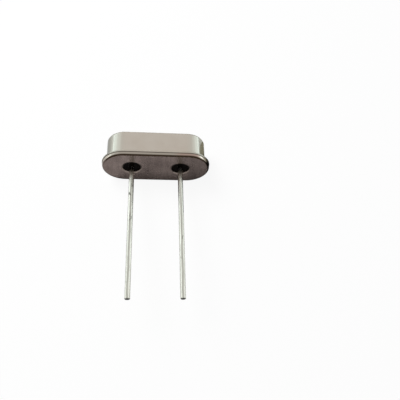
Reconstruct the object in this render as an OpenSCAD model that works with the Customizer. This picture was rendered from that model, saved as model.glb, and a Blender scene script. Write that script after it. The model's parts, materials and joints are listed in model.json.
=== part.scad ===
// Quartz crystal unit, low-profile metal can with two wire leads.
//
// Every piece is built upright: leads down, seating face of the base at z = 0, can on top.
// lie_down() then lays the unit the way it comes to rest, on one broad side. It touches the
// surface with the rim of its flange and the rounded top edge of the can, so the leads rise
// a little. They point to -Y, the long side of the can runs along X.
//
// Can and base are stadium shapes, two half-rounds joined by straight sides. Both are made by
// running one true section round the stadium, so their fillets and lips are real curves.

/* [Can] */
// Width across the two flat sides
can_w = 3.8; // [3.6:0.05:4]
// Height from the seating face to the top of the can
can_h = 3.25; // [3.1:0.05:3.6]
// Thickness of the drawn sheet
can_wall = 0.2; // [0.18:0.01:0.26]
// Outside radius round the top edge
top_edge_r = 0.35; // [0.3:0.01:0.5]
// Outside radius where the wall turns out into the flange
flange_bend_r = 0.12; // [0.08:0.01:0.13]

/* [Flange and base] */
// Length over the flange
flange_l = 10.9; // [10.6:0.05:11.2]
// Width over the flange
flange_w = 4.7; // [4.6:0.01:4.8]
// Thickness of the base at its rim, under the flange
base_rim_t = 0.4; // [0.34:0.01:0.44]
// How far the base's rim stays back from the lip of the flange
base_inset = 0.05; // [0:0.01:0.08]
// Height of the base's platform inside the can
platform_h = 0.95; // [0.8:0.01:1]
// Gap between the platform and the can wall
platform_gap = 0.06; // [0.04:0.01:0.1]
// Rounding of the base's rim on the lead side
base_edge_r = 0.18; // [0.1:0.01:0.2]

/* [Leads and seals] */
// Distance between the two leads
lead_pitch = 4.88; // [4.8:0.01:4.95]
// Diameter of the solder-dipped wire
lead_d = 0.5; // [0.44:0.01:0.52]
// Length of the leads below the seating face
lead_l = 13.6; // [3:0.1:14.5]
// Diameter of the bare wire inside the glass
lead_core_d = 0.44; // [0.4:0.01:0.44]
// Diameter of the glass seals
seal_d = 1.75; // [1.5:0.01:1.85]
// Depth of the glass in its hole, which is also the rounding of the hole's mouth
seal_recess = 0.13; // [0.1:0.01:0.16]
// Radius of the glass where it creeps along wire and metal
meniscus_r = 0.06; // [0.03:0.01:0.08]

/* [Crystal] */
// Length of the quartz strip
blank_l = 7.9; // [7.6:0.1:8]
// Width of the quartz strip
blank_w = 1.9; // [1.6:0.1:2.1]
// Thickness of the quartz strip
blank_t = 0.16; // [0.1:0.01:0.2]
// Length of an electrode's main area
electrode_l = 4.4; // [3.6:0.1:4.8]
// Width of an electrode's main area
electrode_w = 1.5; // [1.2:0.1:1.5]
// Width of the tab that runs to the end of the strip
tab_w = 0.7; // [0.5:0.05:0.9]
// Thickness of the electrodes, drawn thicker than the real film
electrode_t = 0.02; // [0.01:0.005:0.03]
// Height of the quartz strip's lower face above the seating face
blank_z = 1.86; // [1.82:0.01:1.95]
// Thickness of the support clips
clip_t = 0.1; // [0.08:0.01:0.12]
// Width of the support clips
clip_w = 1.1; // [0.8:0.05:1.2]

/* [Hidden] */
$fn = 96;
eps = 0.01;

// stadium: the end centres sit at x = -half_run and +half_run for every section
half_run = (flange_l - flange_w) / 2;
flange_r = flange_w / 2;
can_r = can_w / 2;
can_inner_r = can_r - can_wall;
lip_r = can_wall / 2;
flange_top = base_rim_t + can_wall;

// base
base_r = flange_r - base_inset;
rim_upper_r = 0.07;
platform_r = can_inner_r - platform_gap;
platform_edge_r = 0.15;

// leads, upright: the head sits just above the platform and the solder thins out towards the glass
lead_r = lead_d / 2;
core_r = lead_core_d / 2;
lead_x = lead_pitch / 2;
solder_end_z = -0.72;
core_start_z = -0.08;
tip_chamfer = 0.05;
head_r = 0.42;
head_z = platform_h + 0.08;
head_t = 0.14;
head_top = head_z + head_t;

// support clips: foot on the lead's head, riser, shelf under the strip, end stop
clip_bend_r = 0.06;
foot_half = 0.45;
bond_gap = 0.04;
shelf_top = blank_z - electrode_t - bond_gap;
shelf_end_x = blank_l / 2;
stop_x = shelf_end_x + clip_bend_r;
stop_h = 0.34;

// adhesive beads
bead_r = 0.44;
bead_inset = 0.06;
electrode_corner_r = 0.15;

// lying position: the flange's lip and the can's top edge are two circles, and the surface is
// the line that touches both from outside
lip_y = flange_r - lip_r;
lip_z = base_rim_t + lip_r;
edge_y = can_r - top_edge_r;
edge_z = can_h - top_edge_r;
span = norm([lip_y - edge_y, edge_z - lip_z]);
rest_tilt = acos((top_edge_r - lip_r) / span) - atan2(edge_z - lip_z, lip_y - edge_y);
lift = lip_y * cos(rest_tilt) + lip_z * sin(rest_tilt) + lip_r;
front_y = -lead_l * cos(rest_tilt) - (lead_r - tip_chamfer) * sin(rest_tilt);
back_y = edge_z * cos(rest_tilt) + edge_y * sin(rest_tilt) + top_edge_r;

// colours
can_colour = [0.72, 0.68, 0.63];
base_colour = [0.42, 0.38, 0.36];
glass_colour = [0.05, 0.05, 0.04];
lead_colour = [0.80, 0.80, 0.76];
clip_colour = [0.70, 0.70, 0.66];
quartz_colour = [0.88, 0.92, 0.94, 0.6];
electrode_colour = [0.86, 0.87, 0.88];
adhesive_colour = [0.62, 0.62, 0.60];

// Lays the upright unit on its broad side, lowest point at z = 0, centred over the origin
module lie_down() {
    translate([0, -(front_y + back_y) / 2, lift])
        rotate([-(90 + rest_tilt), 0, 0])
            children();
}

// Runs a section round the stadium. In the section, x is the distance from the middle line of
// the stadium and y is the height.
module stadium_body() {
    for (side = [-1, 1])
        translate([side * half_run, 0, 0])
            rotate([0, 0, -90 * side])
                rotate_extrude(angle = 180, start = 0)
                    children();
    translate([-half_run, 0, 0])
        rotate([90, 0, 90])
            linear_extrude(height = 2 * half_run) {
                children();
                mirror([1, 0])
                    children();
            }
}

// Block in the section from the middle line out to r, between two heights, with its lower and
// upper outer corners rounded
module section_block(r, z_low, z_high, r_low, r_high) {
    half_h = (z_high - z_low) / 2;
    translate([0, z_low])
        square([r - r_low, half_h]);
    translate([0, z_low + half_h])
        square([r - r_high, half_h]);
    translate([0, z_low + r_low])
        square([r, 2 * half_h - r_low - r_high]);
    if (r_low > 0)
        translate([r - r_low, z_low + r_low])
            circle(r_low);
    if (r_high > 0)
        translate([r - r_high, z_high - r_high])
            circle(r_high);
}

// Fills the corner between a vertical wall at x = 0 and a floor at y = 0
module section_fillet(r) {
    difference() {
        square([r, r]);
        translate([r, r])
            circle(r);
    }
}

// Sheet section of the drawn can: top, rounded edge, wall, bend and full-round flange lip
module can_section() {
    difference() {
        union() {
            section_block(can_r, base_rim_t, can_h, 0, top_edge_r);
            translate([0, base_rim_t])
                square([flange_r - lip_r, can_wall]);
            translate([flange_r - lip_r, base_rim_t + lip_r])
                circle(lip_r);
            translate([can_r, flange_top])
                section_fillet(flange_bend_r);
        }
        section_block(can_inner_r, base_rim_t - eps, can_h - can_wall, 0, top_edge_r - can_wall);
        translate([can_inner_r, base_rim_t])
            section_fillet(flange_bend_r + can_wall);
    }
}

module can() {
    color(can_colour)
        lie_down()
            stadium_body()
                can_section();
}

// Section of the pressed base: rim under the flange, platform inside the can
module base_section() {
    section_block(base_r, 0, base_rim_t, base_edge_r, rim_upper_r);
    section_block(platform_r, base_edge_r, platform_h, 0, platform_edge_r);
}

// Hole for a glass seal, with its mouth rounded on the lead side
module seal_hole() {
    hole_r = seal_d / 2;
    translate([0, 0, -eps])
        cylinder(h = platform_h + 2 * eps, r = hole_r);
    rotate_extrude()
        translate([0, -eps])
            difference() {
                square([hole_r + seal_recess, seal_recess + eps]);
                translate([hole_r + seal_recess, seal_recess + eps])
                    circle(seal_recess);
            }
}

module base() {
    color(base_colour)
        lie_down()
            difference() {
                stadium_body()
                    base_section();
                for (side = [-1, 1])
                    translate([side * lead_x, 0, 0])
                        seal_hole();
            }
}

// Glass between wire and base. It creeps along the wire on both sides and up the platform's
// hole, and ends where the rounding of the hole's mouth begins.
module glass_seal(side) {
    inner = core_r;
    outer = seal_d / 2;
    top = platform_h - seal_recess;
    color(glass_colour)
        lie_down()
            translate([side * lead_x, 0, 0])
                rotate_extrude() {
                    translate([inner, seal_recess])
                        square([outer - inner, top - seal_recess]);
                    translate([inner, seal_recess])
                        mirror([0, 1])
                            section_fillet(meniscus_r);
                    translate([inner, top])
                        section_fillet(meniscus_r);
                    translate([outer, top])
                        mirror([1, 0])
                            section_fillet(meniscus_r);
                }
}

// One lead: cut tip, solder-dipped wire, bare wire through the glass, nail head inside the can
module lead(side) {
    outline = [
        [0, -lead_l],
        [lead_r - tip_chamfer, -lead_l],
        [lead_r, -lead_l + tip_chamfer],
        [lead_r, solder_end_z],
        [core_r, core_start_z],
        [core_r, head_z],
        [head_r, head_z],
        [head_r, head_top],
        [0, head_top]
    ];
    color(lead_colour)
        lie_down()
            translate([side * lead_x, 0, 0])
                rotate_extrude()
                    polygon(outline);
}

// Quarter of a bent strip in the side view: bend centre at the origin, the strip fills the
// quadrant that starts at angle a
module strip_bend(a) {
    rotate(a)
        intersection() {
            difference() {
                circle(clip_bend_r + clip_t);
                circle(clip_bend_r);
            }
            square(clip_bend_r + clip_t);
        }
}

// Side view of the right-hand clip, x outwards and y up
module clip_side_view() {
    foot_x = lead_x - foot_half;
    turn_x = lead_x + foot_half;
    low_z = head_top + clip_t + clip_bend_r;
    riser_x = turn_x + clip_bend_r;
    high_z = shelf_top - clip_t - clip_bend_r;
    shelf_x = riser_x + clip_t + clip_bend_r;
    translate([foot_x, head_top])
        square([turn_x - foot_x, clip_t]);
    translate([turn_x, low_z])
        strip_bend(-90);
    translate([riser_x, low_z])
        square([clip_t, high_z - low_z]);
    translate([shelf_x, high_z])
        strip_bend(90);
    translate([shelf_x, shelf_top - clip_t])
        square([shelf_end_x - shelf_x, clip_t]);
    translate([shelf_end_x, shelf_top + clip_bend_r])
        strip_bend(-90);
    translate([stop_x, shelf_top + clip_bend_r])
        square([clip_t, stop_h - clip_bend_r]);
}

module clip_upright() {
    translate([0, clip_w / 2, 0])
        rotate([90, 0, 0])
            linear_extrude(height = clip_w)
                clip_side_view();
}

// side = 1 is the right-hand clip, side = -1 its mirror image
module support_clip(side) {
    color(clip_colour)
        lie_down()
            mirror([side < 0 ? 1 : 0, 0, 0])
                clip_upright();
}

module blank_upright() {
    translate([-blank_l / 2, -blank_w / 2, blank_z])
        cube([blank_l, blank_w, blank_t]);
}

module quartz_blank() {
    color(quartz_colour)
        lie_down()
            blank_upright();
}

// Film outline: rounded main area and a tab to the strip's right-hand end
module electrode_outline() {
    straight_l = electrode_l - 2 * electrode_corner_r;
    straight_w = electrode_w - 2 * electrode_corner_r;
    square([electrode_l, straight_w], center = true);
    square([straight_l, electrode_w], center = true);
    for (x = [-1, 1], y = [-1, 1])
        translate([x * straight_l / 2, y * straight_w / 2])
            circle(electrode_corner_r);
    translate([0, -tab_w / 2])
        square([blank_l / 2, tab_w]);
}

// The upper film runs to the left-hand end and the lower film to the right-hand end
module electrode_upright(upper) {
    film_z = upper ? blank_z + blank_t : blank_z - electrode_t;
    translate([0, 0, film_z])
        mirror([upper ? 1 : 0, 0, 0])
            linear_extrude(height = electrode_t)
                electrode_outline();
}

module electrode(upper) {
    color(electrode_colour)
        lie_down()
            electrode_upright(upper);
}

// Bead round the strip's right-hand end, over and under it, held by the shelf and the end stop
module bead_upright(film_z) {
    difference() {
        intersection() {
            translate([blank_l / 2 - bead_inset, 0, blank_z + blank_t / 2])
                sphere(bead_r);
            translate([0, -bead_r, shelf_top])
                cube([stop_x, 2 * bead_r, 2 * bead_r]);
        }
        blank_upright();
        clip_upright();
        translate([0, -tab_w / 2, film_z])
            cube([blank_l / 2, tab_w, electrode_t]);
    }
}

// The right-hand bead grips the lower film's tab, the left-hand one the upper film's
module adhesive(side) {
    film_z = side > 0 ? blank_z - electrode_t : blank_z + blank_t;
    color(adhesive_colour)
        lie_down()
            mirror([side < 0 ? 1 : 0, 0, 0])
                bead_upright(film_z);
}

can();
base();
glass_seal(-1);  // glass_seal_left
glass_seal(1);  // glass_seal_right
lead(-1);  // lead_left
lead(1);  // lead_right
support_clip(-1);  // support_clip_left
support_clip(1);  // support_clip_right
quartz_blank();
electrode(true);  // electrode_upper
electrode(false);  // electrode_lower
adhesive(-1);  // adhesive_left
adhesive(1);  // adhesive_right
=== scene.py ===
import json
import math

import bpy
from mathutils import Matrix, Vector


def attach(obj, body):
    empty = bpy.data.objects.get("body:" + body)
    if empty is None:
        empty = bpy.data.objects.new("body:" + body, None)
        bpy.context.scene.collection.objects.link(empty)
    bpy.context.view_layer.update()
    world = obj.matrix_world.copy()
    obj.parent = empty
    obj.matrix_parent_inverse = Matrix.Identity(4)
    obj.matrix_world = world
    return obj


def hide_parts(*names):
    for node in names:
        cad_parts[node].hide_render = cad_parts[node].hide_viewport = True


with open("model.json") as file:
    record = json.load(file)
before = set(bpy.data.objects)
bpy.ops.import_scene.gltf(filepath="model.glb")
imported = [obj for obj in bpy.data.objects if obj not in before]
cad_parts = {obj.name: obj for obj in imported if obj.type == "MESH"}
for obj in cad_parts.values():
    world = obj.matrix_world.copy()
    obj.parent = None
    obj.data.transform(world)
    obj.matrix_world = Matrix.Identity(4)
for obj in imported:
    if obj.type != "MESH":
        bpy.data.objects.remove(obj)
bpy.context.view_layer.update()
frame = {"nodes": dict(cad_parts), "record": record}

mm = 0.001

# Every piece is modelled upright: leads down, seating face at z = 0, can on top.
# The seating face's mount says where the unit lies and how far it is tipped over.
seat = next(m for m in frame["record"]["mounts"] if m["name"] == "seating_face")
seatPlace = Vector(seat["pos_m"])
leadWay = Vector(seat["axis"])
restTilt = math.asin(leadWay.z)
layTurn = Matrix.Rotation(-(math.pi / 2 + restTilt), 4, "X")

# shared sizes in mm, as in the part's source
outline = {
    "halfRun": 3.1,         # end centres of the stadium, each side of the middle
    "flangeR": 2.35,        # half the width over the can's flange
    "rimT": 0.4,            # base thickness under the flange
    "platformH": 0.95,      # top of the base's platform inside the can
    "leadX": 2.44,          # lead axis from the middle
    "coreR": 0.22,          # bare wire in the glass
    "sealR": 0.875,
    "steps": 44,            # faces round each half-round end
    "sealSteps": 72,        # faces round each seal and its hole
    "hold": 0.03,           # support line next to a rounding, keeps flats flat
    "mostHold": 0.25,       # left out where it would take more than this share of a line
    "creaseAngle": 35,      # degrees, sharper edges stay crisp
}


def clearSelection():
    if bpy.context.object and bpy.context.object.mode != "OBJECT":
        bpy.ops.object.mode_set(mode="OBJECT")
    bpy.ops.object.select_all(action="DESELECT")


def selectOnly(piece):
    clearSelection()
    piece.select_set(True)
    bpy.context.view_layer.objects.active = piece


# Draws the selection on by delta, in m
def stepTo(delta):
    bpy.ops.mesh.extrude_region_move(TRANSFORM_OT_translate={"value": delta})


# A section lies in the XZ plane, r out from the stadium's middle line and z up.
# Steps are ("line", r, z, parts) or ("arc", centreR, centreZ, degrees, parts). A long line
# of one part gets a support point near both its ends.
def drawSection(name, start, steps, offset=0.0):
    clearSelection()
    bpy.ops.mesh.primitive_plane_add(size=mm)
    piece = bpy.context.object
    piece.name = name
    piece.data.name = name
    bpy.ops.object.mode_set(mode="EDIT")
    bpy.ops.mesh.select_all(action="SELECT")
    bpy.ops.mesh.merge(type="CENTER")
    bpy.ops.transform.translate(value=((start[0] + offset) * mm, 0, start[1] * mm))
    r, z = start
    for step in steps:
        if step[0] == "line":
            length = math.hypot(step[1] - r, step[2] - z)
            parts = step[3] if len(step) > 3 else 1
            hold = outline["hold"] / length
            stops = [k / parts for k in range(1, parts + 1)]
            if parts == 1 and hold < outline["mostHold"]:
                stops = [hold, 1 - hold, 1]
            last = 0
            for stop in stops:
                share = stop - last
                stepTo(((step[1] - r) * share * mm, 0, (step[2] - z) * share * mm))
                last = stop
            r, z = step[1], step[2]
        else:
            _, centreR, centreZ, degrees, parts = step
            turn = math.radians(degrees)
            bpy.ops.mesh.spin(steps=parts, angle=turn, axis=(0, 1, 0),
                              center=((centreR + offset) * mm, 0, centreZ * mm))
            fromR, fromZ = r - centreR, z - centreZ
            r = centreR + fromR * math.cos(turn) - fromZ * math.sin(turn)
            z = centreZ + fromR * math.sin(turn) + fromZ * math.cos(turn)
    return piece


# Merges what meets, drops what has no length and turns the faces outwards
def closeSkin():
    bpy.ops.mesh.select_all(action="SELECT")
    bpy.ops.mesh.remove_doubles(threshold=0.0001 * mm)
    bpy.ops.mesh.dissolve_degenerate(threshold=0.00005 * mm)
    bpy.ops.mesh.normals_make_consistent(inside=False)
    bpy.ops.object.mode_set(mode="OBJECT")


# Runs the section round the stadium: quarter turn, long side, half turn, long side, quarter turn
def sweepStadium(name, start, steps):
    run, hold, count = outline["halfRun"], outline["hold"], outline["steps"]
    piece = drawSection(name, start, steps, offset=run)
    bpy.ops.mesh.select_all(action="SELECT")

    def turnEnd(side, degrees, parts):
        bpy.ops.mesh.spin(steps=parts, angle=math.radians(degrees), axis=(0, 0, 1),
                          center=(side * run * mm, 0, 0))

    def longSide(way):
        for part in (hold, 2 * run - 2 * hold, hold):
            stepTo((way * part * mm, 0, 0))

    turnEnd(1, 90, count // 2)
    longSide(-1)
    turnEnd(-1, 180, count)
    longSide(1)
    turnEnd(1, 90, count // 2)
    closeSkin()
    return piece


# Turns the section all the way round its own axis, then puts it at x
def turnPiece(name, start, steps, parts, x=0.0):
    piece = drawSection(name, start, steps)
    bpy.ops.mesh.select_all(action="SELECT")
    bpy.ops.mesh.spin(steps=parts, angle=2 * math.pi, axis=(0, 0, 1), center=(0, 0, 0))
    closeSkin()
    piece.location.x = x * mm
    bpy.ops.object.transform_apply(location=True, rotation=False, scale=False)
    return piece


# A copy with its own mesh, moved over from the left lead's axis to the right one's
def copyToRight(piece, name):
    copy = piece.copy()
    copy.data = piece.data.copy()
    copy.name = name
    copy.data.name = name
    bpy.context.scene.collection.objects.link(copy)
    selectOnly(copy)
    copy.location.x = 2 * outline["leadX"] * mm
    bpy.ops.object.transform_apply(location=True, rotation=False, scale=False)
    return copy


# Lays an upright piece down in the row's frame, with its place in its mesh
def layDown(piece):
    selectOnly(piece)
    piece.matrix_world = Matrix.Translation(seatPlace) @ layTurn
    bpy.ops.object.transform_apply(location=True, rotation=True, scale=True)


def smoothPiece(piece):
    selectOnly(piece)
    bpy.ops.object.shade_smooth_by_angle(angle=math.radians(outline["creaseAngle"]))


# Gives a piece its material and its body, and hides the CAD nodes it stands for
def finishPiece(piece, material, slot, *nodes):
    piece.data.materials.clear()
    piece.data.materials.append(material)
    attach(piece, "root")
    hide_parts(*nodes)


# An sRGB hex colour as linear values
def hexColour(code):
    channels = [int(code[k:k + 2], 16) / 255 for k in (1, 3, 5)]
    linear = [c / 12.92 if c <= 0.04045 else ((c + 0.055) / 1.055) ** 2.4 for c in channels]
    return (*linear, 1.0)


# Adds a node with its inputs, by name or in order, and its settings, and gives one of its
# outputs. A Mix node's names repeat, so its share and two colours are inputs 0, 6 and 7.
def addNode(tree, kind, inputs, output=0, **settings):
    node = tree.nodes.new("ShaderNode" + kind)
    for name, value in settings.items():
        setattr(node, name, value)
    named = inputs if isinstance(inputs, dict) else dict(enumerate(inputs))
    for name, value in named.items():
        if isinstance(value, bpy.types.NodeSocket):
            tree.links.new(value, node.inputs[name])
        else:
            node.inputs[name].default_value = value
    return node.outputs[output]


# A material whose constants sit on the shader's own sockets
def newMaterial(name, **constants):
    material = bpy.data.materials.new(name)
    material.use_nodes = True
    tree = material.node_tree
    shader = tree.nodes["Principled BSDF"]
    for socket, value in constants.items():
        shader.inputs[socket.replace("_", " ")].default_value = value
    return material, tree, shader


# Joins the finished colour, roughness and normal to the shader
def dressShader(tree, shader, colour, roughness, normal):
    tree.links.new(colour, shader.inputs["Base Color"])
    tree.links.new(roughness, shader.inputs["Roughness"])
    tree.links.new(normal, shader.inputs["Normal"])


# Object coordinates in mm, turned back upright, then stretched for the pattern
def uprightCoords(tree, stretch=(1, 1, 1)):
    back = layTurn.inverted()
    upright = addNode(tree, "Mapping", {
        "Vector": addNode(tree, "TexCoord", {}, "Object"),
        "Location": -(back @ (seatPlace / mm)),
        "Rotation": back.to_euler(),
        "Scale": (1 / mm, 1 / mm, 1 / mm),
    })
    if tuple(stretch) == (1, 1, 1):
        return upright
    return addNode(tree, "Mapping", {"Vector": upright, "Scale": stretch})


# In the looks below, colours are sRGB, patterns are counted per mm, and depths, heights and
# distances are in mm, upright: x to the right, y towards the table, z up from the seating
# face. A Span is the stretch over which a colour comes in or goes, in mm or in values of a
# noise, and Most is its full share. roughSpan runs from the smoothest to the roughest.
noiseSpan = (0.3, 0.7)              # most of a noise's values lie in between
noiseRoughness = 0.55               # what each finer layer of a noise keeps


# Nickel silver sheet, deep drawn and tumbled: warm grey metal, faint lines along the draw
def drawnNickelSilver():
    look = {
        "body": "#b9b1a6",
        "stain": "#b0a598",
        "stainSpan": (0.35, 0.75),
        "stainMost": 0.6,
        "end": "#b3b2a7",           # the half-round ends are rubbed greyer
        "endSpan": (3.3, 4.9),      # from the middle, give or take the blotches
        "dull": "#85837a",          # and painted shade darkens the far left
        "leftShadeSpan": (-4.45, -4.85),
        "leftShadeMost": 0.75,
        "lipFootShade": "#4f4336",      # painted shade low on the lip, where it is welded on
        "lipFootShadeSpan": (0.42, 0.48),
        "lipFootShadeMost": 0.5,
        "sheen": (0.8, 0.8, 0.8, 1),
        "roughSpan": (0.15, 0.23),
        "linesPerMm": 4.0,          # real die lines run 20 to the mm, too fine to show
        "lineStretch": (1, 1, 0.06),
        "lineDepth": 0.0022,
        "grainPerMm": 9.0,          # real tumbling marks, 40 to the mm, are too fine as well
        "grainDepth": 0.0006,
        "blotchPerMm": 0.45,
    }
    material, tree, shader = newMaterial("drawnNickelSilver", Metallic=1.0,
                                         Specular_Tint=look["sheen"])
    coords = uprightCoords(tree)
    axes = addNode(tree, "SeparateXYZ", [coords]).node.outputs
    lines = addNode(tree, "TexNoise", {
        "Vector": uprightCoords(tree, look["lineStretch"]), "Scale": look["linesPerMm"],
        "Detail": 4.0, "Roughness": noiseRoughness,
    })
    grain = addNode(tree, "TexNoise", {
        "Vector": coords, "Scale": look["grainPerMm"],
        "Detail": 2.0, "Roughness": noiseRoughness,
    })
    blotch = addNode(tree, "TexNoise", {
        "Vector": coords, "Scale": look["blotchPerMm"],
        "Detail": 3.0, "Roughness": noiseRoughness,
    })

    stained = addNode(tree, "MapRange", [blotch, *look["stainSpan"], 0.0, look["stainMost"]])
    colour = addNode(tree, "Mix", {
        0: stained, 6: hexColour(look["body"]), 7: hexColour(look["stain"]),
    }, 2, data_type="RGBA")
    fromMiddle = addNode(tree, "Math", [axes["X"]], operation="ABSOLUTE")
    fromMiddle = addNode(tree, "Math", [fromMiddle, blotch], operation="ADD")
    worn = addNode(tree, "MapRange", [fromMiddle, *look["endSpan"], 0.0, 1.0],
                   interpolation_type="SMOOTHSTEP")
    colour = addNode(tree, "Mix", {0: worn, 6: colour, 7: hexColour(look["end"])},
                     2, data_type="RGBA")
    # painted shade at the far left end
    leftShade = addNode(tree, "MapRange", [axes["X"], *look["leftShadeSpan"], 0.0, look["leftShadeMost"]])
    colour = addNode(tree, "Mix", {0: leftShade, 6: colour, 7: hexColour(look["dull"])},
                     2, data_type="RGBA")
    # painted shade low on the lip, next to the base
    lipFootShaded = addNode(tree, "MapRange", [axes["Z"], *look["lipFootShadeSpan"], look["lipFootShadeMost"], 0.0])
    colour = addNode(tree, "Mix", {0: lipFootShaded, 6: colour, 7: hexColour(look["lipFootShade"])},
                     2, data_type="RGBA")

    rough = addNode(tree, "MapRange", [lines, *noiseSpan, *look["roughSpan"]])
    normal = addNode(tree, "Bump", {"Height": lines, "Distance": look["lineDepth"] * mm})
    normal = addNode(tree, "Bump", {
        "Height": grain, "Distance": look["grainDepth"] * mm, "Normal": normal,
    })
    dressShader(tree, shader, colour, rough, normal)
    return material


# Pressed and nickel-plated steel: bright rim, and a face darkened by painted shade, with stains and
# streaks of scale
def platedSteelPaintedShade():
    look = {
        "face": "#857873",
        "stain": "#6d615d",
        "stainSpan": (0.35, 0.7),
        "stainMost": 0.7,
        "scale": "#2b2521",         # in streaks, and as painted shade: more on the right, above the holes and in the groove
        "streakSpan": (0.45, 0.75),
        "streakMost": 0.25,
        "rightShadeSpan": (1.5, 5.0),
        "rightShadeMost": 0.22,
        "mouth": "#8d8379",         # the rounded mouths of the holes stayed cleaner
        "mouthSpan": (0.98, 1.03),  # from the lead's axis
        "mouthMost": 0.35,
        "mouthShadeSpan": (1.03, 1.08),  # except on their upper side, where painted shade reaches in
        "burntSide": (-0.6, 0.1),
        "mouthShadeMost": 0.85,
        "edge": "#362b20",          # painted shade in the rounding between face and rim
        "edgeSpan": (2.1, 2.19),    # from the stadium's middle line
        "edgeAhead": 0.05,          # it starts this much further in on the lower side
        "lowerSide": (0.8, 1.6),
        "thinSpan": (-5.25, -4.85),
        "thinMost": 0.7,            # it is thin at the left end
        "rim": "#9a9287",
        "rimSpan": (0.085, 0.17),
        "warm": "#99867b",          # a warmer tint on the rim's right half
        "warmSpan": (1.6, 2.4),
        "endHighlight": "#cfc7ba",        # painted highlight at both its ends
        "endHighlightSpan": (4.1, 4.67),
        "endHighlightShift": 0.15,           # the right one starts this much further in
        "rubDown": 0.025,           # and bright this much further down the rounding
        "grooveSpan": (0.36, 0.39), # painted shade in the groove under the can's lip
        "grooveMost": 0.7,
        "sheen": (0.5, 0.5, 0.5, 1),
        "roughSpan": (0.22, 0.32),
        "rimRough": 0.6,            # the rim's share of that
        "streaksPerMm": 3.0,        # smears of scale about a third of a mm wide
        "streakStretch": (1, 0.12, 1),
        "grainPerMm": 8.0,          # the plating's real grain, 50 to the mm, is too fine to show
        "grainDepth": 0.0012,
        "blotchPerMm": 0.5,
        "blotchDepth": 0.004,
    }
    material, tree, shader = newMaterial("platedSteelPaintedShade", Metallic=1.0,
                                         Specular_Tint=look["sheen"])
    coords = uprightCoords(tree)
    axes = addNode(tree, "SeparateXYZ", [coords]).node.outputs
    blotch = addNode(tree, "TexNoise", {
        "Vector": coords, "Scale": look["blotchPerMm"],
        "Detail": 4.0, "Roughness": noiseRoughness,
    })
    grain = addNode(tree, "TexNoise", {
        "Vector": coords, "Scale": look["grainPerMm"],
        "Detail": 3.0, "Roughness": noiseRoughness,
    })
    streaks = addNode(tree, "TexNoise", {
        "Vector": uprightCoords(tree, look["streakStretch"]), "Scale": look["streaksPerMm"],
        "Detail": 3.0, "Roughness": noiseRoughness,
    })
    fromMiddle = addNode(tree, "Math", [axes["X"]], operation="ABSOLUTE")

    # the face, in a tone darkened by painted shade
    stained = addNode(tree, "MapRange", [blotch, *look["stainSpan"], 0.0, look["stainMost"]])
    face = addNode(tree, "Mix", {
        0: stained, 6: hexColour(look["face"]), 7: hexColour(look["stain"]),
    }, 2, data_type="RGBA")
    streaked = addNode(tree, "MapRange", [streaks, *look["streakSpan"], 0.0, look["streakMost"]])
    face = addNode(tree, "Mix", {0: streaked, 6: face, 7: hexColour(look["scale"])},
                   2, data_type="RGBA")
    # painted shade: more scale colour towards the face's right side
    rightShade = addNode(tree, "MapRange", [axes["X"], *look["rightShadeSpan"], 0.0, look["rightShadeMost"]])
    face = addNode(tree, "Mix", {0: rightShade, 6: face, 7: hexColour(look["scale"])},
                   2, data_type="RGBA")

    # round the seals
    offSeal = addNode(tree, "Math", [fromMiddle, outline["leadX"]], operation="SUBTRACT")
    offSeal = addNode(tree, "CombineXYZ", {"X": offSeal, "Y": axes["Y"]})
    fromSeal = addNode(tree, "VectorMath", [offSeal], "Value", operation="LENGTH")
    clean = addNode(tree, "MapRange", [fromSeal, *look["mouthSpan"], look["mouthMost"], 0.0])
    face = addNode(tree, "Mix", {0: clean, 6: face, 7: hexColour(look["mouth"])},
                   2, data_type="RGBA")
    # painted shade on the upper side of each hole's mouth
    upper = addNode(tree, "MapRange", [axes["Y"], *look["burntSide"], look["mouthShadeMost"], 0.0])
    burnt = addNode(tree, "MapRange", [fromSeal, *look["mouthShadeSpan"], 1.0, 0.0])
    burnt = addNode(tree, "Math", [upper, burnt], operation="MULTIPLY")
    face = addNode(tree, "Mix", {0: burnt, 6: face, 7: hexColour(look["scale"])},
                   2, data_type="RGBA")

    # the rounded edge, with painted shade in it
    past = addNode(tree, "Math", [fromMiddle, outline["halfRun"]], operation="SUBTRACT")
    past = addNode(tree, "Math", [past, 0.0], operation="MAXIMUM")
    out = addNode(tree, "CombineXYZ", {"X": past, "Y": axes["Y"]})
    out = addNode(tree, "VectorMath", [out], "Value", operation="LENGTH")
    ahead = addNode(tree, "MapRange", [axes["Y"], *look["lowerSide"], 0.0, look["edgeAhead"]])
    out = addNode(tree, "Math", [out, ahead], operation="ADD")
    edge = addNode(tree, "MapRange", [out, *look["edgeSpan"], 0.0, 1.0],
                   interpolation_type="SMOOTHSTEP")
    thin = addNode(tree, "MapRange", [axes["X"], *look["thinSpan"], look["thinMost"], 0.0])
    edgeTone = addNode(tree, "Mix", {
        0: thin, 6: hexColour(look["edge"]), 7: hexColour(look["face"]),
    }, 2, data_type="RGBA")
    colour = addNode(tree, "Mix", {0: edge, 6: face, 7: edgeTone}, 2, data_type="RGBA")

    # the rim and the groove above it, the groove with painted shade
    warmed = addNode(tree, "MapRange", [axes["X"], *look["warmSpan"], 0.0, 1.0])
    rimTone = addNode(tree, "Mix", {
        0: warmed, 6: hexColour(look["rim"]), 7: hexColour(look["warm"]),
    }, 2, data_type="RGBA")
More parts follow.
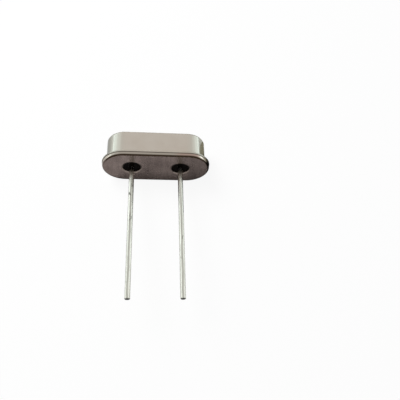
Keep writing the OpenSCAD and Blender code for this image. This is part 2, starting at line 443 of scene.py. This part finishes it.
    # painted highlight at both ends of the rim
    toEnd = addNode(tree, "Math", [axes["X"], look["endHighlightShift"]], operation="ADD")
    toEnd = addNode(tree, "Math", [toEnd], operation="ABSOLUTE")
    endHighlight = addNode(tree, "MapRange", [toEnd, *look["endHighlightSpan"], 0.0, 1.0],
                     interpolation_type="SMOOTHSTEP")
    rimTone = addNode(tree, "Mix", {0: endHighlight, 6: rimTone, 7: hexColour(look["endHighlight"])},
                      2, data_type="RGBA")
    lifted = addNode(tree, "Math", [endHighlight, look["rubDown"]], operation="MULTIPLY")
    lifted = addNode(tree, "Math", [axes["Z"], lifted], operation="ADD")
    rim = addNode(tree, "MapRange", [lifted, *look["rimSpan"], 0.0, 1.0],
                  interpolation_type="SMOOTHSTEP")
    colour = addNode(tree, "Mix", {0: rim, 6: colour, 7: rimTone}, 2, data_type="RGBA")
    # painted shade in the groove
    grooveShade = addNode(tree, "MapRange", [axes["Z"], *look["grooveSpan"], 0.0, look["grooveMost"]])
    colour = addNode(tree, "Mix", {0: grooveShade, 6: colour, 7: hexColour(look["scale"])},
                     2, data_type="RGBA")

    rough = addNode(tree, "MapRange", [grain, *noiseSpan, *look["roughSpan"]])
    smoother = addNode(tree, "MapRange", [rim, 0.0, 1.0, 1.0, look["rimRough"]])
    rough = addNode(tree, "Math", [rough, smoother], operation="MULTIPLY")
    normal = addNode(tree, "Bump", {"Height": grain, "Distance": look["grainDepth"] * mm})
    normal = addNode(tree, "Bump", {
        "Height": blotch, "Distance": look["blotchDepth"] * mm, "Normal": normal,
    })
    dressShader(tree, shader, colour, rough, normal)
    return material


# Black sealing glass, fused in place: deep black, with a faint flow ripple
def fusedSealGlass():
    look = {
        "deep": "#070301",
        "thin": "#0c0602",
        "gloss": 0.012,
        "roughSpan": (0.12, 0.22),
        "ripplesPerMm": 2.5,        # the glass froze in ripples about 0.4 mm long
        "rippleDepth": 0.01,
    }
    material, tree, shader = newMaterial("fusedSealGlass", IOR=1.52,
                                         Specular_IOR_Level=look["gloss"])
    ripple = addNode(tree, "TexNoise", {
        "Vector": uprightCoords(tree), "Scale": look["ripplesPerMm"],
        "Detail": 2.0, "Roughness": noiseRoughness,
    })
    colour = addNode(tree, "Mix", {
        0: ripple, 6: hexColour(look["deep"]), 7: hexColour(look["thin"]),
    }, 2, data_type="RGBA")
    rough = addNode(tree, "MapRange", [ripple, *noiseSpan, *look["roughSpan"]])
    normal = addNode(tree, "Bump", {"Height": ripple, "Distance": look["rippleDepth"] * mm})
    dressShader(tree, shader, colour, rough, normal)
    return material


# Iron-nickel wire dipped in solder: pale tin, drawing lines along the wire, small dark specks
def solderDippedWire():
    look = {
        "body": "#e3e3d9",
        "line": "#c0c0b5",
        "lineSpan": (0.42, 0.66),
        "lineMost": 0.8,
        "darkReflection": "#99998f",          # painted reflection: a darker line wanders along the wire's middle
        "darkReflectionSpan": (0.03, 0.12),
        "darkReflectionMost": 0.7,
        "wanderSpan": (-0.06, 0.06),    # to either side of it
        "speck": "#4b4a42",
        "speckSpan": (0.59, 0.64),
        "speckMost": 0.8,
        "fewerSpan": (-6.0, -9.0),  # specks are fainter towards the tip
        "fewerShare": 0.35,
        "bare": "#8b877d",          # the solder thins out towards the glass
        "bareSpan": (-1.1, -0.3),
        "bareMost": 0.7,
        "cut": "#171512",           # sheared tip
        "cutSpan": (-13.6, -13.52),
        "sheen": (0.7, 0.7, 0.7, 1),
        "roughSpan": (0.2, 0.32),
        "linesPerMm": 7.0,          # real die lines run 30 to the mm, too fine to show
        "lineStretch": (1, 1, 0.02),
        "lineDepth": 0.0016,
        "wavesPerMm": 1.6,          # solder waves, a little longer than the wire is thick
        "waveStretch": (1, 1, 0.3),
        "waveDepth": 0.006,
        "specksPerMm": 2.2,
        "speckStretch": (1, 1, 0.6),
        "speckDraw": 8.5,           # another value strews the specks anew
        "speckRoughness": 0.7,
    }
    material, tree, shader = newMaterial("solderDippedWire", Metallic=1.0,
                                         Specular_Tint=look["sheen"])
    coords = uprightCoords(tree)
    axes = addNode(tree, "SeparateXYZ", [coords]).node.outputs
    lines = addNode(tree, "TexNoise", {
        "Vector": uprightCoords(tree, look["lineStretch"]), "Scale": look["linesPerMm"],
        "Detail": 3.0, "Roughness": noiseRoughness,
    })
    waves = addNode(tree, "TexNoise", {
        "Vector": uprightCoords(tree, look["waveStretch"]), "Scale": look["wavesPerMm"],
        "Detail": 2.0, "Roughness": noiseRoughness,
    })
    specks = addNode(tree, "TexNoise", {
        "Vector": uprightCoords(tree, look["speckStretch"]), "Scale": look["specksPerMm"],
        "W": look["speckDraw"], "Detail": 5.0, "Roughness": look["speckRoughness"],
    }, noise_dimensions="4D")

    lined = addNode(tree, "MapRange", [lines, *look["lineSpan"], 0.0, look["lineMost"]])
    colour = addNode(tree, "Mix", {
        0: lined, 6: hexColour(look["body"]), 7: hexColour(look["line"]),
    }, 2, data_type="RGBA")
    # painted reflection along the wire's middle
    offAxis = addNode(tree, "Math", [axes["X"]], operation="ABSOLUTE")
    offAxis = addNode(tree, "Math", [offAxis, outline["leadX"]], operation="SUBTRACT")
    wander = addNode(tree, "MapRange", [waves, *noiseSpan, *look["wanderSpan"]])
    offLine = addNode(tree, "Math", [offAxis, wander], operation="ADD")
    offLine = addNode(tree, "Math", [offLine], operation="ABSOLUTE")
    darkReflected = addNode(tree, "MapRange", [offLine, *look["darkReflectionSpan"], look["darkReflectionMost"], 0.0])
    colour = addNode(tree, "Mix", {0: darkReflected, 6: colour, 7: hexColour(look["darkReflection"])},
                     2, data_type="RGBA")
    specked = addNode(tree, "MapRange", [specks, *look["speckSpan"], 0.0, look["speckMost"]])
    fewer = addNode(tree, "MapRange", [axes["Z"], *look["fewerSpan"], 1.0, look["fewerShare"]])
    specked = addNode(tree, "Math", [specked, fewer], operation="MULTIPLY")
    colour = addNode(tree, "Mix", {0: specked, 6: colour, 7: hexColour(look["speck"])},
                     2, data_type="RGBA")
    bare = addNode(tree, "MapRange", [axes["Z"], *look["bareSpan"], 0.0, look["bareMost"]])
    colour = addNode(tree, "Mix", {0: bare, 6: colour, 7: hexColour(look["bare"])},
                     2, data_type="RGBA")
    cut = addNode(tree, "MapRange", [axes["Z"], *look["cutSpan"], 1.0, 0.0])
    colour = addNode(tree, "Mix", {0: cut, 6: colour, 7: hexColour(look["cut"])},
                     2, data_type="RGBA")

    rough = addNode(tree, "MapRange", [waves, *noiseSpan, *look["roughSpan"]])
    normal = addNode(tree, "Bump", {"Height": lines, "Distance": look["lineDepth"] * mm})
    normal = addNode(tree, "Bump", {
        "Height": waves, "Distance": look["waveDepth"] * mm, "Normal": normal,
    })
    dressShader(tree, shader, colour, rough, normal)
    return material


# Nickel strip for the inner clips, stamped: bright, rolling lines across the strip
def stampedNickelStrip():
    look = {
        "dull": "#a9a79c",
        "bright": "#c6c4b8",
        "roughSpan": (0.25, 0.4),
        "linesPerMm": 14.0,         # real rolling lines, 50 to the mm, are too fine to show
        "lineStretch": (0.15, 1, 1),
        "lineDepth": 0.002,
    }
    material, tree, shader = newMaterial("stampedNickelStrip", Metallic=1.0)
    lines = addNode(tree, "TexNoise", {
        "Vector": uprightCoords(tree, look["lineStretch"]), "Scale": look["linesPerMm"],
        "Detail": 3.0, "Roughness": noiseRoughness,
    })
    colour = addNode(tree, "Mix", {
        0: lines, 6: hexColour(look["dull"]), 7: hexColour(look["bright"]),
    }, 2, data_type="RGBA")
    rough = addNode(tree, "MapRange", [lines, *noiseSpan, *look["roughSpan"]])
    normal = addNode(tree, "Bump", {"Height": lines, "Distance": look["lineDepth"] * mm})
    dressShader(tree, shader, colour, rough, normal)
    return material


# Quartz strip, lapped: clear body with a fine frosted face
def lappedQuartz():
    look = {
        "clear": "#e8eef0",
        "frost": "#f6f9fa",
        "clarity": 0.85,
        "roughSpan": (0.25, 0.45),
        "pitsPerMm": 30.0,          # real lapping pits, 200 to the mm, are too fine to show
        "pitDepth": 0.001,
    }
    material, tree, shader = newMaterial("lappedQuartz", IOR=1.54,
                                         Transmission_Weight=look["clarity"])
    frost = addNode(tree, "TexNoise", {
        "Vector": uprightCoords(tree), "Scale": look["pitsPerMm"],
        "Detail": 2.0, "Roughness": noiseRoughness,
    })
    colour = addNode(tree, "Mix", {
        0: frost, 6: hexColour(look["clear"]), 7: hexColour(look["frost"]),
    }, 2, data_type="RGBA")
    rough = addNode(tree, "MapRange", [frost, *noiseSpan, *look["roughSpan"]])
    normal = addNode(tree, "Bump", {"Height": frost, "Distance": look["pitDepth"] * mm})
    dressShader(tree, shader, colour, rough, normal)
    return material


# Silver film, evaporated on the quartz: follows the frosted face, faint cloudy tone
def evaporatedSilver():
    look = {
        "thin": "#d9dadb",
        "thick": "#eeeeea",
        "roughSpan": (0.18, 0.3),
        "cloudsPerMm": 1.2,
        "pitsPerMm": 30.0,          # the quartz's pits show through the film, drawn as coarse
        "pitDepth": 0.001,
    }
    material, tree, shader = newMaterial("evaporatedSilver", Metallic=1.0)
    coords = uprightCoords(tree)
    cloud = addNode(tree, "TexNoise", {
        "Vector": coords, "Scale": look["cloudsPerMm"],
        "Detail": 3.0, "Roughness": noiseRoughness,
    })
    frost = addNode(tree, "TexNoise", {
        "Vector": coords, "Scale": look["pitsPerMm"],
        "Detail": 2.0, "Roughness": noiseRoughness,
    })
    colour = addNode(tree, "Mix", {
        0: cloud, 6: hexColour(look["thin"]), 7: hexColour(look["thick"]),
    }, 2, data_type="RGBA")
    rough = addNode(tree, "MapRange", [frost, *noiseSpan, *look["roughSpan"]])
    normal = addNode(tree, "Bump", {"Height": frost, "Distance": look["pitDepth"] * mm})
    dressShader(tree, shader, colour, rough, normal)
    return material


# Silver-filled epoxy, dispensed and cured: dull grey paste with flakes
def silverEpoxy():
    look = {
        "resin": "#8b8a86",
        "flake": "#b4b3ad",
        "metal": 0.6,
        "roughSpan": (0.45, 0.65),
        "flakesPerMm": 22.0,        # real flakes, 100 to the mm, are too fine to show
        "flakeDepth": 0.006,
    }
    material, tree, shader = newMaterial("silverEpoxy", Metallic=look["metal"])
    flakes = addNode(tree, "TexNoise", {
        "Vector": uprightCoords(tree), "Scale": look["flakesPerMm"],
        "Detail": 4.0, "Roughness": noiseRoughness,
    })
    colour = addNode(tree, "Mix", {
        0: flakes, 6: hexColour(look["resin"]), 7: hexColour(look["flake"]),
    }, 2, data_type="RGBA")
    rough = addNode(tree, "MapRange", [flakes, *noiseSpan, *look["roughSpan"]])
    normal = addNode(tree, "Bump", {"Height": flakes, "Distance": look["flakeDepth"] * mm})
    dressShader(tree, shader, colour, rough, normal)
    return material


def modelCan():
    size = {"r": 1.9, "h": 3.25, "wall": 0.2, "topR": 0.35, "bendR": 0.12}
    rim, flangeR = outline["rimT"], outline["flangeR"]
    r, wall, topR, bendR = size["r"], size["wall"], size["topR"], size["bendR"]
    lip = wall / 2
    flangeTop = rim + wall
    inner = r - wall
    innerBend = bendR + wall
    return sweepStadium("canShell", (0, size["h"]), [
        ("line", r - topR, size["h"]),
        ("arc", r - topR, size["h"] - topR, -90, 12),
        ("line", r, flangeTop + bendR),
        ("arc", r + bendR, flangeTop + bendR, 90, 8),
        ("line", flangeR - lip, flangeTop),
        ("arc", flangeR - lip, rim + lip, -180, 14),
        ("line", inner + innerBend, rim),
        ("arc", inner + innerBend, rim + innerBend, -90, 6),
        ("line", inner, size["h"] - topR),
        ("arc", r - topR, size["h"] - topR, 90, 6),
        ("line", 0, size["h"] - wall),
    ])


def modelBase():
    size = {"rimR": 2.3, "edgeR": 0.18, "upperR": 0.07, "platformR": 1.64, "platformEdgeR": 0.15,
            "mouthR": 0.13, "cutterPast": 0.05, "cutterShy": 0.001}
    rim, rimR, top = outline["rimT"], size["rimR"], outline["platformH"]
    edgeR, upperR = size["edgeR"], size["upperR"]
    platformR, platformEdgeR = size["platformR"], size["platformEdgeR"]
    base = sweepStadium("headerBase", (0, 0), [
        ("line", rimR - edgeR, 0),
        ("arc", rimR - edgeR, edgeR, 90, 12),
        ("line", rimR, rim - upperR),
        ("arc", rimR - upperR, rim - upperR, 90, 6),
        ("line", platformR, rim),
        ("line", platformR, top - platformEdgeR),
        ("arc", platformR - platformEdgeR, top - platformEdgeR, 90, 6),
        ("line", 0, top),
    ])
    # the seal holes are drilled with a cutter whose shoulder rounds the mouth
    sealR, mouthR = outline["sealR"], size["mouthR"]
    past, shy = size["cutterPast"], size["cutterShy"]
    for side in (-1, 1):
        cutter = turnPiece("sealCutter", (0, -past), [
            ("line", sealR + mouthR, -past),
            ("line", sealR + mouthR, -shy),
            ("arc", sealR + mouthR, mouthR - shy, -90, 10),
            ("line", sealR, top + past),
            ("line", 0, top + past),
        ], outline["sealSteps"], side * outline["leadX"])
        selectOnly(base)
        drill = base.modifiers.new("drill", "BOOLEAN")
        drill.operation = "DIFFERENCE"
        drill.solver = "EXACT"
        drill.object = cutter
        bpy.ops.object.modifier_apply(modifier=drill.name)
        bpy.data.objects.remove(cutter)
    return base


def modelSeal(name):
    size = {"recess": 0.13, "creepR": 0.06}
    inner, outer = outline["coreR"], outline["sealR"]
    low, creep = size["recess"], size["creepR"]
    high = outline["platformH"] - size["recess"]
    return turnPiece(name, (inner, low - creep), [
        ("arc", inner + creep, low - creep, -90, 6),
        ("line", outer, low, 5),
        ("line", outer, high + creep),
        ("arc", outer - creep, high + creep, -90, 5),
        ("line", inner + creep, high),
        ("arc", inner + creep, high + creep, -90, 5),
        ("line", inner, low - creep),
    ], outline["sealSteps"], -outline["leadX"])


def modelLead(name):
    size = {"r": 0.25, "length": 13.6, "chamfer": 0.05, "solderEnd": -0.72, "coreStart": -0.08,
            "headR": 0.42, "headZ": 1.03, "headTop": 1.17, "steps": 32}
    r, length, chamfer = size["r"], size["length"], size["chamfer"]
    return turnPiece(name, (0, -length), [
        ("line", r - chamfer, -length, 3),
        ("line", r, -length + chamfer, 2),
        ("line", r, size["solderEnd"], 40),
        ("line", outline["coreR"], size["coreStart"], 3),
        ("line", outline["coreR"], size["headZ"], 3),
        ("line", size["headR"], size["headZ"]),
        ("line", size["headR"], size["headTop"]),
        ("line", 0, size["headTop"]),
    ], size["steps"], -outline["leadX"])


print("stage: materials")
nickelSilver = drawnNickelSilver()
shadedPlatedSteel = platedSteelPaintedShade()
sealGlass = fusedSealGlass()
tinnedWire = solderDippedWire()

print("stage: can and base")
can = modelCan()
base = modelBase()
print("stage: seals and leads")
seals = {"left": modelSeal("sealLeft")}
seals["right"] = copyToRight(seals["left"], "sealRight")
leads = {"left": modelLead("leadLeft")}
leads["right"] = copyToRight(leads["left"], "leadRight")

for piece in (can, base, *seals.values(), *leads.values()):
    layDown(piece)
    smoothPiece(piece)

finishPiece(can, nickelSilver, "nickel_silver_can", "can")
finishPiece(base, shadedPlatedSteel, "plated_steel_base", "base")
for side in ("left", "right"):
    finishPiece(seals[side], sealGlass, "black_seal_glass", f"glass_seal_{side}")
    finishPiece(leads[side], tinnedWire, "solder_dipped_wire", f"lead_{side}")

print("stage: pieces inside the can")
innerFinish = {
    "support_clip_left": stampedNickelStrip(),
    "quartz_blank": lappedQuartz(),
    "electrode_upper": evaporatedSilver(),
    "adhesive_left": silverEpoxy(),
}
innerFinish["support_clip_right"] = innerFinish["support_clip_left"]
innerFinish["electrode_lower"] = innerFinish["electrode_upper"]
innerFinish["adhesive_right"] = innerFinish["adhesive_left"]
for nodeName, material in innerFinish.items():
    inside = frame["nodes"][nodeName]
    inside.data.materials.clear()
    inside.data.materials.append(material)


# Matt white sweep: what looks at it also sees its own even light, so that it ends up white
def mattWhiteSweep():
    look = {"paper": "#f6f6f6", "seenByCamera": 0.91, "seenByMetal": 0.03}
    material, tree, shader = newMaterial("mattWhiteSweep", Roughness=1.0, Specular_IOR_Level=0.0)
    shader.inputs["Base Color"].default_value = hexColour(look["paper"])
    rays = addNode(tree, "LightPath", {}).node.outputs
    direct = addNode(tree, "Math", [rays["Is Camera Ray"], rays["Is Transmission Ray"]],
                     operation="MAXIMUM")
    direct = addNode(tree, "Math", [direct, look["seenByCamera"]], operation="MULTIPLY")
    glossy = addNode(tree, "Math", [rays["Is Glossy Ray"], look["seenByMetal"]],
                     operation="MULTIPLY")
    share = addNode(tree, "Math", [direct, glossy], operation="MAXIMUM")
    glow = addNode(tree, "Emission", {"Color": (1, 1, 1, 1), "Strength": 1.0})
    both = addNode(tree, "MixShader", [share, shader.outputs[0], glow])
    tree.links.new(both, tree.nodes["Material Output"].inputs["Surface"])
    return material


def layFloor():
    clearSelection()
    size = {"across": 1.2}      # m
    bpy.ops.mesh.primitive_plane_add(size=size["across"])
    floor = bpy.context.object
    floor.name = "floor"
    floor.data.materials.append(mattWhiteSweep())


def whiteWorld():
    light = {"onMattThings": 0.24, "seen": 1.0}
    world = bpy.data.worlds.new("studio")
    bpy.context.scene.world = world
    world.use_nodes = True
    tree = world.node_tree
    back = tree.nodes["Background"]
    rays = addNode(tree, "LightPath", {}).node.outputs
    seen = addNode(tree, "Math", [rays["Is Camera Ray"], rays["Is Glossy Ray"]],
                   operation="MAXIMUM")
    seen = addNode(tree, "Math", [seen, rays["Is Transmission Ray"]], operation="MAXIMUM")
    strength = addNode(tree, "MapRange", [seen, 0.0, 1.0, light["onMattThings"], light["seen"]])
    back.inputs["Color"].default_value = (1, 1, 1, 1)
    tree.links.new(strength, back.inputs["Strength"])


# A card that only the metal sees, with its middle and size in mm. In degrees, bearing turns
# it about z, and lean tips it back from upright.
def reflectionCard(name, middle, size, bearing, lean, material):
    clearSelection()
    bpy.ops.mesh.primitive_plane_add(size=mm)
    card = bpy.context.object
    card.name = name
    card.scale = (*size, 1)
    card.rotation_euler = (math.radians(90 - lean), 0, math.radians(bearing))
    card.location = Vector(middle) * mm
    bpy.ops.object.transform_apply(location=True, rotation=True, scale=True)
    card.data.materials.append(material)
    card.visible_camera = False
    card.visible_diffuse = False
    card.visible_shadow = False


# Card with painted shade, from black in front to grey at the back
def shadedCardboard():
    look = {"front": "#0c0b09", "back": "#9f9a89", "greyStart": 7.3, "greyFull": 8.5, "slant": 0.5}
    material, tree, shader = newMaterial("shadedCardboard", Roughness=1.0, Specular_IOR_Level=0.0)
    place = addNode(tree, "TexCoord", {}, "Object")
    axes = addNode(tree, "SeparateXYZ", [place]).node.outputs
    slanted = addNode(tree, "Math", [axes["Z"], look["slant"]], operation="MULTIPLY")
    backward = addNode(tree, "Math", [axes["Y"], slanted], operation="ADD")
    share = addNode(tree, "MapRange",
                    [backward, look["greyStart"] * mm, look["greyFull"] * mm, 0.0, 1.0])
    colour = addNode(tree, "Mix", {
        0: share, 6: hexColour(look["front"]), 7: hexColour(look["back"]),
    }, 2, data_type="RGBA")
    tree.links.new(colour, shader.inputs["Base Color"])
    return material


# A soft box: bearing and rise in degrees, where left is minus and the can's end is ahead,
# distance and size in mm, and how bright it looks. The top box only lights matt things.
def softBox(name, bearing, rise, distance, size, brightness, shownInMetal=True):
    look = {"coolWhite": (0.8, 0.94, 1.0)}      # tint of the boxes that metal shows
    lamp = bpy.data.lights.new(name, "AREA")
    lamp.shape = "RECTANGLE"
    lamp.size, lamp.size_y = size[0] * mm, size[1] * mm
    lamp.energy = brightness * math.pi * lamp.size * lamp.size_y
    if shownInMetal:
        lamp.color = look["coolWhite"]
    holder = bpy.data.objects.new(name, lamp)
    bpy.context.scene.collection.objects.link(holder)
    turn, lift = math.radians(bearing), math.radians(rise)
    way = Vector((math.sin(turn) * math.cos(lift), math.cos(turn) * math.cos(lift), math.sin(lift)))
    holder.location = way * distance * mm
    holder.rotation_euler = way.to_track_quat("Z", "Y").to_euler()
    holder.visible_glossy = shownInMetal


def placeCamera():
    view = {"placeMm": (-1.051, -13.404, 46.751), "turnDeg": (18.781, -6.647, -1.134), "lens": 42.3}
    camera = bpy.data.cameras.new("camera")
    camera.lens = view["lens"]
    camera.clip_start = mm
    holder = bpy.data.objects.new("camera", camera)
    bpy.context.scene.collection.objects.link(holder)
    holder.location = Vector(view["placeMm"]) * mm
    holder.rotation_euler = [math.radians(a) for a in view["turnDeg"]]
    bpy.context.scene.camera = holder


stage = {
    "sideCard": {"middle": (6.8, 5.65, 1.6), "size": (7.3, 3.77), "bearing": -90, "lean": 32},
    "softBoxes": {
        "leftTall": {"bearing": -50, "rise": 18, "distance": 160, "size": (120, 104),
                     "brightness": 0.3},
        "leftLow": {"bearing": -52, "rise": 10, "distance": 150, "size": (120, 52),
                    "brightness": 0.4},
        "leftStrip": {"bearing": -52, "rise": 3.5, "distance": 140, "size": (110, 15),
                      "brightness": 0.5},
        "rightTall": {"bearing": 50, "rise": 17, "distance": 160, "size": (90, 98),
                      "brightness": 0.2},
        "rightLow": {"bearing": 52, "rise": 11, "distance": 150, "size": (90, 58),
                     "brightness": 0.35},
        "rightStrip": {"bearing": 54, "rise": 3.5, "distance": 140, "size": (90, 15),
                       "brightness": 0.8},
        "topBox": {"bearing": -50, "rise": 49, "distance": 200, "size": (100, 100),
                   "brightness": 12.4, "shownInMetal": False},
    },
}
print("stage: floor, light and camera")
layFloor()
whiteWorld()
reflectionCard("sideCard", **stage["sideCard"], material=shadedCardboard())
for boxName, box in stage["softBoxes"].items():
    softBox(boxName, **box)
placeCamera()
bpy.context.scene.view_settings.view_transform = "Standard"

bpy.context.view_layer.update()
